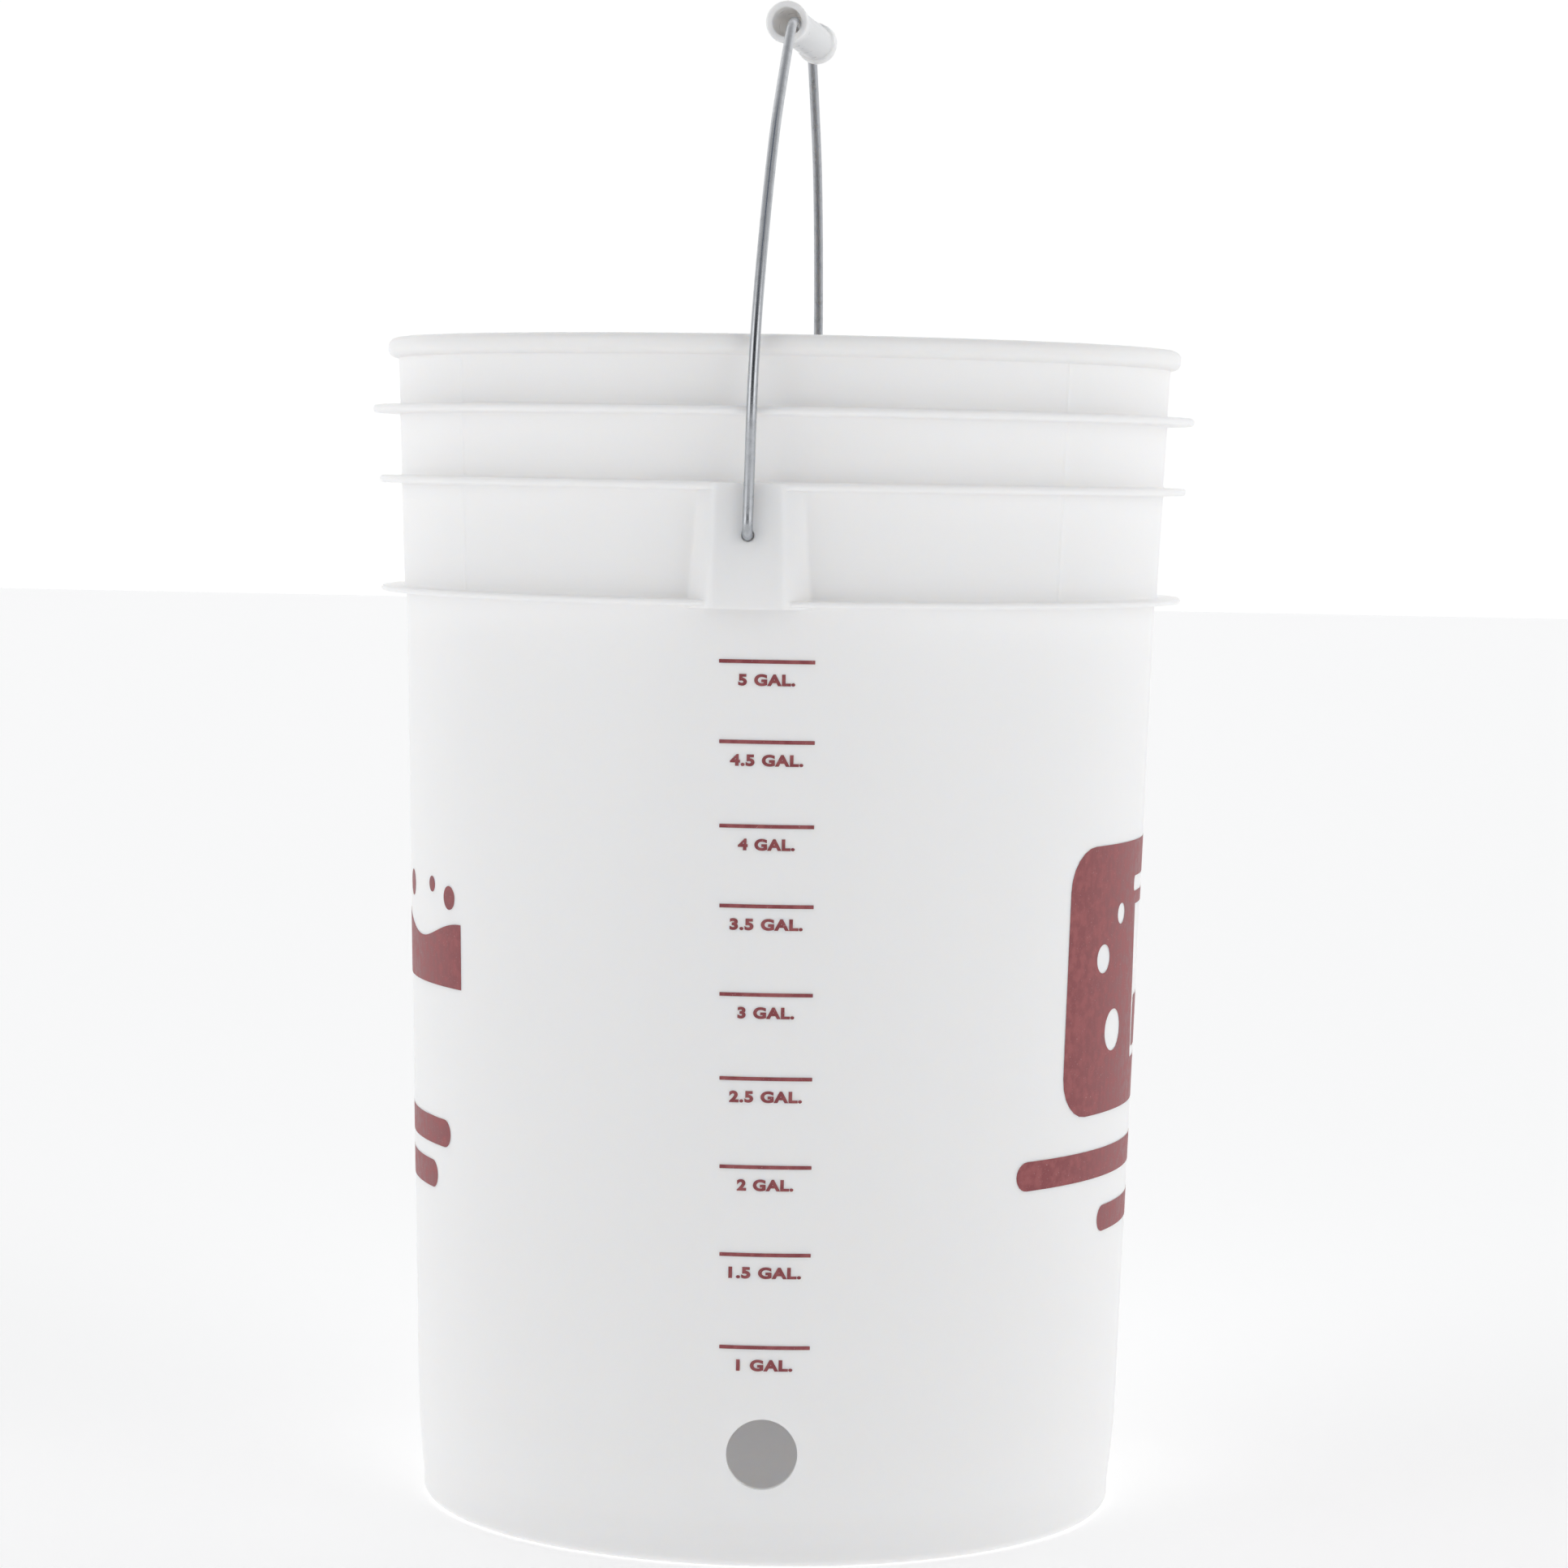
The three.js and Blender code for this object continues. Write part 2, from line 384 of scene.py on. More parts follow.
@dataclass(frozen=True)
class DrilledEdge:
    """The wall's own plastic where the hole saw cut it: whiter, dull and finely ridged."""

    name: str = "drilled_polyethylene"
    colour: tuple[float, float, float] = (0.90, 0.90, 0.885)

    def build(self) -> bpy.types.Material:
        """Make the material.

        Returns:
            The material.
        """
        sheet = NodeSheet(self.name)
        ridges = sheet.noise(sheet.object_point((0.2, 1, 0.2)), 2600.0, 2.0)
        tear = sheet.noise(sheet.object_point(), 420.0, 3.0)
        colour = sheet.blend(sheet.span(tear, 0.0, 1.0), (*self.colour, 1), (0.84, 0.84, 0.83, 1))
        normal = sheet.bump(tear, 0.5, 0.12 * MM, sheet.bump(ridges, 0.4, 0.05 * MM))
        sheet.principled(
            Base_Color=colour,
            Roughness=sheet.span(tear, 0.5, 0.7),
            Normal=normal,
            IOR=1.53,
            Subsurface_Weight=0.9,
            Subsurface_Radius=(1.0, 0.93, 0.85),
            Subsurface_Scale=4 * MM,
        )
        return sheet.material


@dataclass(frozen=True)
class ScreenInk:
    """Maroon screen-printing ink, thin, with pinholes and a slightly uneven film."""

    name: str = "maroon_ink"
    colour: tuple[float, float, float] = (0.245, 0.045, 0.052)
    thin: tuple[float, float, float] = (0.33, 0.085, 0.09)

    def build(self) -> bpy.types.Material:
        """Make the material.

        Returns:
            The material.
        """
        sheet = NodeSheet(self.name)
        point = sheet.object_point()
        film = sheet.span(sheet.noise(point, 260.0, 4.0), 0.0, 1.0, (0.42, 0.62))
        colour = sheet.blend(film, (*self.colour, 1), (*self.thin, 1))
        holes = sheet.span(sheet.noise(point, 1900.0, 2.0), 0.0, 1.0, (0.70, 0.76))
        colour = sheet.blend(holes, colour, (0.62, 0.42, 0.42, 1))
        sheet.principled(
            Base_Color=colour,
            Roughness=sheet.span(film, 0.42, 0.6, (0.0, 1.0)),
            Normal=sheet.bump(sheet.noise(point, 1400.0, 2.0), 0.2, 0.05 * MM),
        )
        return sheet.material


@dataclass(frozen=True)
class ZincWire:
    """Bright zinc-plated drawn steel: fine lines along the wire and a faintly clouded plating."""

    name: str = "zinc_plated_wire"
    colour: tuple[float, float, float] = (0.46, 0.475, 0.50)
    dull: tuple[float, float, float] = (0.40, 0.415, 0.435)

    def build(self) -> bpy.types.Material:
        """Make the material.

        Returns:
            The material.
        """
        sheet = NodeSheet(self.name)
        point = sheet.object_point()
        along = sheet.node("Attribute", attribute_name="along").outputs["Fac"]
        around = sheet.node("Attribute", attribute_name="around").outputs["Fac"]
        lines_at = sheet.node("CombineXYZ", {"X": around, "Y": along}).outputs[0]
        stretched = sheet.node("Mapping", {"Vector": lines_at, "Scale": (14, 40, 1)})
        lines = sheet.noise(stretched.outputs["Vector"], 1.0, 4.0)
        plating = sheet.noise(point, 320.0, 5.0)
        worn = sheet.span(plating, 0.0, 1.0, (0.45, 0.7))
        colour = sheet.blend(worn, (*self.colour, 1), (*self.dull, 1))
        normal = sheet.bump(lines, 0.06, 0.02 * MM, sheet.bump(plating, 0.04, 0.03 * MM))
        sheet.principled(
            Base_Color=colour,
            Metallic=1.0,
            Roughness=sheet.span(plating, 0.2, 0.3),
            Normal=normal,
        )
        return sheet.material


# ---- The pail ----------------------------------------------------------------------------


@dataclass(frozen=True)
class Ring:
    """One stiffening ring round the wall."""

    height: float
    radius: float
    thickness: float

    def outline(self, below: float, above: float, fillet: float = 0.9 * MM) -> Outline:
        """The ring's section, from a fillet on the wall below to one on the wall above.

        Args:
            below: The wall's outer radius under the ring.
            above: The wall's outer radius over the ring.
            fillet: Radius of the fillets at the ring's root.

        Returns:
            The section's points, upwards.
        """
        half = self.thickness / 2
        low, high = self.height - half, self.height + half
        return [
            *arc(below + fillet, low - fillet, fillet, 180, 90, 3),
            *spread((below + fillet, low), (self.radius - half, low), 3.2 * MM),
            *arc(self.radius - half, self.height, half, -90, 90, 8),
            *spread((self.radius - half, high), (above + fillet, high), 3.2 * MM),
            *arc(above + fillet, high + fillet, fillet, -90, -180, 3),
        ]


@dataclass(frozen=True)
class Ear:
    """A hollow box on the wall that carries one end of the bail, open beneath."""

    azimuth: float
    face: float = 156.5 * MM
    face_half: float = 12.6 * MM
    corner: float = 3.2 * MM
    top: float = 394.5 * MM
    bottom: float = 350.5 * MM
    half_top: float = 20.8 * MM
    half_bottom: float = 22.5 * MM
    wall: float = 2.2 * MM
    foot: float = 143.5 * MM
    pivot: float = 377 * MM
    hole_radius: float = 2.25 * MM
    dish_radius: float = 6.4 * MM
    dish_depth: float = 0.45 * MM

    def plan(self, inset: float = 0.0) -> np.ndarray:
        """Half of the ear's plan at its top, from the middle of the face to the wall.

        Args:
            inset: How far inside the outer skin.

        Returns:
            Rows of (distance to the side, distance from the bucket's axis).
        """
        face, half = self.face - inset, self.half_top - inset
        run, rise = half - self.face_half, face - self.foot
        slope = math.atan2(rise, run)
        corner = max(self.corner - inset, 0.8 * MM)
        turn = math.pi / 2 - (math.pi / 2 - slope)
        back = corner * math.tan(turn / 2)
        centre = (self.face_half - inset * 0.3 - back, face - corner)
        bend = [
            (centre[0] + corner * math.sin(turn * i / 6), centre[1] + corner * math.cos(turn * i / 6))
            for i in range(7)
        ]
        flat = [(centre[0] * i / 4, face) for i in range(4)]
        end = (bend[-1][0] + run * 1.0, bend[-1][1] - run * math.tan(slope))
        cheek = [
            (bend[-1][0] + (end[0] - bend[-1][0]) * i / 6, bend[-1][1] + (end[1] - bend[-1][1]) * i / 6)
            for i in range(1, 7)
        ]
        return np.array(flat + bend + cheek)

    def flare(self, height: float) -> float:
        """How much wider the ear is at a height than at its top."""
        share = (self.top - height) / (self.top - self.bottom)
        return 1 + (self.half_bottom / self.half_top - 1) * share

    def radius(self, turn: np.ndarray, height: float) -> np.ndarray:
        """Distance of the ear's skin from the bucket's axis.

        Args:
            turn: Azimuths from the middle of the ear, in radians.
            height: The height, between the ear's bottom and its top.

        Returns:
            The radii, 0 beyond the ear.
        """
        plan = self.plan()
        side = plan[:, 0] * self.flare(height)
        angles = np.arctan2(side, plan[:, 1])
        skin = np.interp(np.abs(turn), angles, np.hypot(side, plan[:, 1]), right=0.0)
        off = np.hypot(np.sin(turn) * self.face, height - self.pivot)
        dish = np.clip(1 - (off / self.dish_radius) ** 4, 0, 1)
        return skin - self.dish_depth * dish * (skin > 0)


@dataclass
class PailShell:
    """The moulded pail: wall, rim bead, rings, foot ring, floor, ears and drilled hole."""

    foot_radius: float = 134.2 * MM
    foot_inner: float = 129.0 * MM
    foot_corner: float = 3.4 * MM
    foot_height: float = 8.4 * MM
    body_radius: float = 135.7 * MM
    body_taper: float = 0.0267
    neck_radius: float = 145.9 * MM
    neck_taper: float = 0.037
    wall: float = 2.3 * MM
    floor_under: float = 10 * MM
    floor: float = 12.8 * MM
    floor_fillet: float = 6 * MM
    rim_radius: float = 153.2 * MM
    rim_height: float = 7.4 * MM
    rim_corner: float = 3.2 * MM
    rings: tuple[Ring, Ring, Ring] = (
        Ring(352.7 * MM, 154.9 * MM, 2.0 * MM),
        Ring(394.5 * MM, 156.2 * MM, 2.9 * MM),
        Ring(421.3 * MM, 158.9 * MM, 3.0 * MM),
    )
    ears: tuple[Ear, Ear] = (Ear(0.0), Ear(180.0))
    parting_azimuth: float = 48.6
    parting_height: float = 0.12 * MM
    hole_radius: float = 13 * MM
    hole_height: float = 42.6 * MM
    hole_azimuth: float = 3.8
    column_step: float = 1.5
    fine_step: float = 0.3
    fine_half: float = 12.0
    rim_top: float = field(default_factory=lambda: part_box("bucket_shell")[1].z)

    def body(self, height: float) -> float:
        """Outer radius of the tapered body, without the pinch at its foot."""
        return self.body_radius + self.body_taper * height

    def neck(self, height: float) -> float:
        """Outer radius of the nesting section above the lowest ring."""
        return self.neck_radius + self.neck_taper * (height - self.rings[0].height)

    def skin(self, height: float) -> float:
        """Outer radius of the printed wall at a height between the foot and the lowest ring."""
        return self.body(height)

    def outer_outline(self) -> Outline:
        """Section of the outside, from under the floor, round the foot and up to the rim.

        Returns:
            The points as (radius, height).
        """
        under = self.floor_under
        lip = 0.5 * MM
        base = [
            *spread((0, under), (self.foot_inner - 2 * MM, under), 9 * MM),
            *arc(self.foot_inner - 2 * MM, under - 2 * MM, 2 * MM, 90, 0, 4),
            *spread((self.foot_inner, under - 2 * MM), (self.foot_inner, lip), 3 * MM),
            *arc(self.foot_inner + lip, lip, lip, 180, 270, 3),
            *arc(self.foot_radius - self.foot_corner, self.foot_corner, self.foot_corner, -90, 0, 8),
        ]
        step = [
            (self.foot_radius, self.foot_height - 1.5 * MM),
            (self.foot_radius + 0.04 * MM, self.foot_height),
        ]
        pinch = [
            (self.body(z) - self.pinch(z), z) for z in np.arange(9.5, 42, 2.5) * MM
        ]
        low, middle, top = self.rings
        fillet = 0.9 * MM
        wall_end = low.height - low.thickness / 2 - fillet
        ear_bottom = self.ears[0].bottom
        shaft = spread(pinch[-1], (self.body(wall_end), wall_end), 7 * MM)
        shaft = [p for p in shaft if p[1] < ear_bottom - 1 * MM]
        edge = [(self.body(z), z) for z in (ear_bottom - 0.25 * MM, ear_bottom - 0.05 * MM)]
        first = low.outline(self.body(low.height), self.neck(low.height))
        first = [p for p in first if p[1] > ear_bottom]
        second = middle.outline(self.neck(middle.height), self.neck(middle.height))
        third = top.outline(self.neck(top.height), self.neck(top.height))
        rim = self.rim_outline()
        return [
            *base, *step, *pinch, *shaft, *edge, *first,
            *spread(first[-1], second[0], 2.5 * MM), *second,
            *spread(second[-1], third[0], 3.5 * MM), *third,
            *spread(third[-1], rim[0], 3 * MM), *rim,
        ]

    def pinch(self, height: float) -> float:
        """How far the wall draws in near its foot, under the line of the taper."""
        share = max(0.0, 1 - (height - self.foot_height) / (32 * MM))
        return 1.72 * MM * share ** 1.7

    def rim_outline(self) -> Outline:
        """Section of the rim bead, from its underside over its top edge.

        Returns:
            The points as (radius, height).
        """
        bottom = self.rim_top - self.rim_height
        centre = self.rim_radius - self.rim_corner
        fillet = 0.4 * MM
        wall = self.neck(bottom)
        inner = wall - self.wall
        return [
            *arc(wall + fillet, bottom - fillet, fillet, 180, 90, 4),
            *arc(centre, bottom + self.rim_corner, self.rim_corner, -90, 0, 8),
            *arc(centre, self.rim_top - self.rim_corner, self.rim_corner, 0, 90, 8),
            *arc(inner + 0.9 * MM, self.rim_top - 0.9 * MM, 0.9 * MM, 90, 180, 4),
        ]

    def inner_outline(self) -> Outline:
        """Section of the inside, from under the rim down the wall and over the floor.

        Returns:
            The points as (radius, height).
        """
        low = self.rings[0].height
        rim_foot = self.rim_top - 2 * MM
        start = (self.neck(rim_foot) - self.wall, rim_foot)
        shoulder = [
            (self.neck(low + 3 * MM) - self.wall, low + 3 * MM),
            (self.neck(low + 1.5 * MM) - self.wall - 0.15 * MM, low + 1.5 * MM),
            (self.body(low) - self.wall + 0.15 * MM, low),
            (self.body(low - 1.5 * MM) - self.wall, low - 1.5 * MM),
        ]
        corner = self.body(self.floor) - 0.85 * MM - self.wall - self.floor_fillet
        bend = arc(corner, self.floor + self.floor_fillet, self.floor_fillet, 0, -90, 10)
        return [
            start, *spread(start, shoulder[0], 7 * MM), *shoulder,
            *spread(shoulder[-1], bend[0], 7 * MM), *bend,
            *spread(bend[-1], (0, self.floor), 9 * MM),
        ]

    def columns(self) -> np.ndarray:
        """Azimuths of the mesh columns in radians, close together at the ears and seams.

        Returns:
            The angles in radians.
        """
        coarse = np.arange(0, 360, self.column_step)
        fine = np.arange(-self.fine_half, self.fine_half + 1e-6, self.fine_step)
        lines = [
            ear.azimuth + side * self.parting_azimuth
            for ear in self.ears for side in (-1, 1)
        ]
        close = [np.array([-0.16, -0.08, 0, 0.08, 0.16]) + line for line in lines]
        ears = [fine + ear.azimuth for ear in self.ears]
        every = np.concatenate([coarse, *close, *ears]) % 360
        merged = [0.0]
        for angle in np.sort(np.round(every, 4)):
            if angle - merged[-1] > 0.07:
                merged.append(float(angle))
        return np.radians(merged)

    def mould_relief(self, grid: np.ndarray, columns: np.ndarray) -> None:
        """Raise the ears and the mould's parting lines on the outer skin.

        Args:
            grid: The outer skin's points, changed in place.
            columns: The azimuth of each column in radians.
        """
        blend = 0.7 * MM
        parts = [ear.azimuth + s * self.parting_azimuth for ear in self.ears for s in (-1, 1)]
        for row in grid:
            radius, height = math.hypot(row[0, 0], row[0, 1]), row[0, 2]
            swollen = np.full(len(columns), radius)
            for ear in self.ears:
                if not ear.bottom <= height <= ear.top + 1.2 * MM:
                    continue
                turn = (columns - math.radians(ear.azimuth) + math.pi) % math.tau - math.pi
                skin = ear.radius(turn, min(height, ear.top))
                near = np.clip(blend - np.abs(swollen - skin), 0, None) / blend
                swollen = np.maximum(swollen, skin) + near ** 2 * blend / 4
            on_wall = radius < self.neck(height) + 1 * MM
            if self.rings[0].height < height < self.rim_top - self.rim_height and on_wall:
                for line in parts:
                    turn = (columns - math.radians(line) + math.pi) % math.tau - math.pi
                    swollen += self.parting_height * (np.abs(turn) < math.radians(0.09))
            row[:, 0] = swollen * np.sin(columns)
            row[:, 1] = -swollen * np.cos(columns)

    def ear_hollow(self, ear: Ear) -> bpy.types.Object:
        """The space inside an ear, as a body to cut away.

        Args:
            ear: The ear that is hollowed.

        Returns:
            The cutting solid.
        """
        levels = [ear.bottom - 1.5 * MM, self.rings[0].height - 1 * MM,
                  self.rings[0].height + 1 * MM, ear.top - self.rings[1].thickness / 2]
        half = ear.plan(ear.wall)
        half = half[half[:, 1] > self.neck(ear.top) + 0.4 * MM]
        loops = []
        for level in levels:
            wall = self.neck(level) if level > self.rings[0].height else self.body(level)
            wall += 0.15 * MM
            side = half[:, 0] * ear.flare(level)
            edge = math.atan2(side[-1], half[-1, 1])
            right = list(zip(side, half[:, 1]))
            inner = [
                (wall * math.sin(edge * s), wall * math.cos(edge * s))
                for s in np.linspace(1, -1, 15)
            ]
            left = [(-x, y) for x, y in right[:0:-1]]
            loops.append([(x, y, level) for x, y in right + inner + left])
        count = len(loops[0])
        faces = [tuple(range(count)), tuple(range(3 * count + count - 1, 3 * count - 1, -1))]
        for i in range(len(levels) - 1):
            for j in range(count):
                k = (j + 1) % count
                faces.append((i * count + k, i * count + j, (i + 1) * count + j, (i + 1) * count + k))
        hollow = mesh_object("ear_hollow", np.array([p for loop in loops for p in loop]), faces)
        hollow.data.transform(Matrix.Rotation(math.radians(180 + ear.azimuth), 4, "Z"))
        return hollow

    def bore(self, azimuth: float, radius: float, height: float,
             reach: tuple[float, float], surface: float, chamfer: float) -> bpy.types.Object:
        """A drill's body, square to the axis, with a chamfer where it meets the surface.

        Args:
            azimuth: Direction of the hole in degrees.
            radius: The hole's radius.
            height: The hole's height.
            reach: Nearest and furthest distance from the bucket's axis.
            surface: Distance of the outer skin from the bucket's axis.
            chamfer: Width of the broken edge.

        Returns:
            The body to cut away.
        """
        near, far = reach
        outline = [
            (radius, near - surface), (radius, -chamfer), (radius + chamfer, 0.1 * MM),
            (radius + chamfer, far - surface),
        ]
        columns = np.linspace(0, math.tau, 96, endpoint=False)
        drill = closed_lathe("drill", lathe_points(outline, columns), (near - surface, far - surface))
        lie = Matrix.Rotation(math.radians(90), 4, "X")
        place = Matrix.Translation((0, -surface, height))
        drill.data.transform(Matrix.Rotation(math.radians(azimuth), 4, "Z") @ place @ lie)
        return drill

    def build(self) -> bpy.types.Object:
        """Make the shell and dress it.

        Returns:
            The finished object.
        """
        columns = self.columns()
        outer = lathe_points(self.outer_outline(), columns)
        self.mould_relief(outer, columns)
        inner = lathe_points(self.inner_outline(), columns)
        grid = np.concatenate([outer, inner])
        shell = closed_lathe("pail_shell", grid, (self.floor_under, self.floor))
        for ear in self.ears:
            cut(shell, self.ear_hollow(ear))
            cut(shell, self.bore(ear.azimuth, ear.hole_radius, ear.pivot,
                                 (150 * MM, 160 * MM), ear.face - ear.dish_depth, 0.3 * MM))
        surface = self.body(self.hole_height)
        cut(shell, self.bore(self.hole_azimuth, self.hole_radius, self.hole_height,
                             (128 * MM, 142 * MM), surface, 0.25 * MM))
        sharpen(shell, 42)
        shell.data.materials.clear()
        shell.data.materials.append(Polyethylene("natural_polyethylene").build())
        shell.data.materials.append(DrilledEdge().build())
        self.mark_cut_faces(shell)
        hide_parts("bucket_shell")
        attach(shell, Body.BUCKET.value)
        return shell

    def mark_cut_faces(self, shell: bpy.types.Object) -> None:
        """Give the faces that the hole saw made the drilled finish.

        Args:
            shell: The finished shell.
        """
        turn = math.radians(self.hole_azimuth)
        side = Vector((math.cos(turn), math.sin(turn), 0))
        out = Vector((math.sin(turn), -math.cos(turn), 0))
        for face in shell.data.polygons:
            off = face.center - Vector((0, 0, self.hole_height))
            reach = math.hypot(off.dot(side), off.z)
            ahead = off.dot(out) > 0 and abs(face.normal.dot(out)) < 0.8
            if ahead and reach < self.hole_radius + 0.6 * MM:
                face.material_index = 1


# ---- Print -------------------------------------------------------------------------------


@dataclass
class Artwork:
    """Flat artwork that is wrapped on the wall as a thin film of ink."""

    pail: PailShell
    ink: bpy.types.Material
    gap: float = 0.03 * MM
    film: float = 0.05 * MM
    slice_degrees: float = 1.5

    def filled(self, loops: list[Outline]) -> bpy.types.Mesh:
        """A flat mesh from closed outlines, an outline inside another being a hole.

        Args:
            loops: Closed outlines; an inner one is a hole.

        Returns:
            The flat artwork.
        """
        curve = bpy.data.curves.new("artwork", "CURVE")
        curve.dimensions = "2D"
        curve.fill_mode = "FRONT"
        for loop in loops:
            spline = curve.splines.new("POLY")
            spline.points.add(len(loop) - 1)
            for point, (x, y) in zip(spline.points, loop):
                point.co = (x, y, 0, 1)
            spline.use_cyclic_u = True
        return self.flattened(curve)

    def lettered(self, words: str, cap_height: float, width: float, weight: float) -> bpy.types.Mesh:
        """A flat mesh of a line of type, centred on its own middle.

        Args:
            words: The characters.
            cap_height: Height of a capital.
            width: Width of the whole line.
            weight: How much bolder than the plain face, as a share of the cap height.

        Returns:
            The mesh.
        """
        curve = bpy.data.curves.new("type", "FONT")
        curve.body = words
        curve.size = cap_height / 0.73
        curve.offset = cap_height * weight
        curve.space_character = 1.12
        curve.fill_mode = "FRONT"
        mesh = self.flattened(curve)
        points = np.array([v.co for v in mesh.vertices])
        low, high = points.min(0), points.max(0)
        scale = (width / (high[0] - low[0]), cap_height / (high[1] - low[1]))
        for vertex, point in zip(mesh.vertices, points):
            x = (point[0] - (low[0] + high[0]) / 2) * scale[0]
            y = (point[1] - (low[1] + high[1]) / 2) * scale[1]
            vertex.co = (x, y, 0)
        return mesh

    def flattened(self, curve: bpy.types.Curve) -> bpy.types.Mesh:
        """The filled faces of a flat curve or line of type, which is then removed.

        Args:
            curve: The curve, deleted afterwards.

        Returns:
            The flat artwork.
        """
        holder = bpy.data.objects.new("flat", curve)
        bpy.context.scene.collection.objects.link(holder)
        graph = bpy.context.evaluated_depsgraph_get()
        mesh = bpy.data.meshes.new_from_object(holder.evaluated_get(graph))
        bpy.data.objects.remove(holder)
        bpy.data.curves.remove(curve)
        return mesh

    def wrap(self, mesh: bpy.types.Mesh, azimuth: float, height: float,
             body: bmesh.types.BMesh) -> None:
        """Slice a flat mesh, wrap it on the wall and add it to a body as a thin film.

        Args:
            mesh: The artwork, in metres about its own middle.
            azimuth: Where its middle goes round the wall, in degrees.
            height: Where its middle goes up the wall.
            body: The mesh that it is added to.
        """
        flat = bmesh.new()
        flat.from_mesh(mesh)
        bmesh.ops.remove_doubles(flat, verts=flat.verts, dist=1e-6)
        reach = max(abs(v.co.x) for v in flat.verts)
        pitch = math.radians(self.slice_degrees) * self.pail.skin(height)
        for i in range(-int(reach / pitch), int(reach / pitch) + 1):
            parts = flat.verts[:] + flat.edges[:] + flat.faces[:]
            bmesh.ops.bisect_plane(flat, geom=parts, plane_co=(i * pitch, 0, 0), plane_no=(1, 0, 0))
        flat.verts.index_update()
        layers = []
        for lift in (self.gap + self.film, self.gap):
            layer = []
            for vertex in flat.verts:
                z = height + vertex.co.y
                turn = math.radians(azimuth) + vertex.co.x / self.pail.skin(height)
                radius = self.pail.skin(z) - self.pail.pinch(z) + lift
                layer.append(body.verts.new((radius * math.sin(turn), -radius * math.cos(turn), z)))
            layers.append(layer)
        front, back = layers
        flat.verts.ensure_lookup_table()
        for face in flat.faces:
            ring = [v.index for v in face.verts]
            if face.normal.z < 0:
                ring.reverse()
            body.faces.new([front[i] for i in ring])
            body.faces.new([back[i] for i in reversed(ring)])
            for a, b in zip(ring, ring[1:] + ring[:1]):
                edge = flat.edges.get((flat.verts[a], flat.verts[b]))
                if edge is not None and edge.is_boundary:
                    body.faces.new([front[b], front[a], back[a], back[b]])
        flat.free()
        bpy.data.meshes.remove(mesh)

    def finish(self, name: str, body: bmesh.types.BMesh) -> bpy.types.Object:
        """Make the printed piece, dress it in ink and let it ride on the bucket.

        Args:
            name: The piece's name.
            body: Its closed slabs.

        Returns:
            The printed piece.
        """
        mesh = bpy.data.meshes.new(name)
        body.to_mesh(mesh)
        body.free()
        obj = bpy.data.objects.new(name, mesh)
        bpy.context.scene.collection.objects.link(obj)
        mesh.materials.append(self.ink)
        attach(obj, Body.BUCKET.value)
        return obj


def rounded_bar(width: float, height: float, corner: float, x: float = 0.0, y: float = 0.0) -> Outline:
    """Outline of a rectangle with round corners about a middle point.

    Args:
        width: Whole width.
        height: Whole height.
        corner: Radius of the corners.
        x: Middle point, across.
        y: Middle point, upwards.

    Returns:
        The closed outline.
    """
    points = []
    for cx, cy, start in ((1, -1, -90), (1, 1, 0), (-1, 1, 90), (-1, -1, 180)):
        middle = (x + cx * (width / 2 - corner), y + cy * (height / 2 - corner))
        points += arc(*middle, corner, start, start + 90, 6)
    return points


def disc(x: float, y: float, radius: float) -> Outline:
    """Outline of a circle."""
    return arc(x, y, radius, 0, 352.5, 47)


@dataclass
class VolumeScale(Artwork):
    """The volume marks: a line and a label for each half gallon from 1 to 5."""

    heights: tuple[float, ...] = (82.3, 116.4, 148.6, 180.9, 211.5, 243.6, 272.5, 302.9, 331.8)
    line_degrees: float = 13.7
    line_height: float = 1.35 * MM
    cap_height: float = 4.3 * MM
    label_drop: float = 6.6 * MM
    whole_width: float = 20.5 * MM
    half_width: float = 26.4 * MM
    low_azimuth: float = 3.97
    high_azimuth: float = 2.66

    def build(self) -> bpy.types.Object:
        """Make the printed scale.

        Returns:
            The printed piece.
        """
        body = bmesh.new()
        last = len(self.heights) - 1
        for i, mark in enumerate(self.heights):
            height = mark * MM
            azimuth = self.low_azimuth + (self.high_azimuth - self.low_azimuth) * i / last
            width = math.radians(self.line_degrees) * self.pail.skin(height)
            line = self.filled([rounded_bar(width, self.line_height, 0.15 * MM)])
            self.wrap(line, azimuth, height, body)
            gallons = 1 + i / 2
            whole = gallons == int(gallons)
            span = self.whole_width if whole else self.half_width
            label = self.lettered(f"{gallons:g} GAL.", self.cap_height, span, 0.07)
            self.wrap(label, azimuth, height - self.label_drop, body)
        return self.finish("volume_scale_print", body)


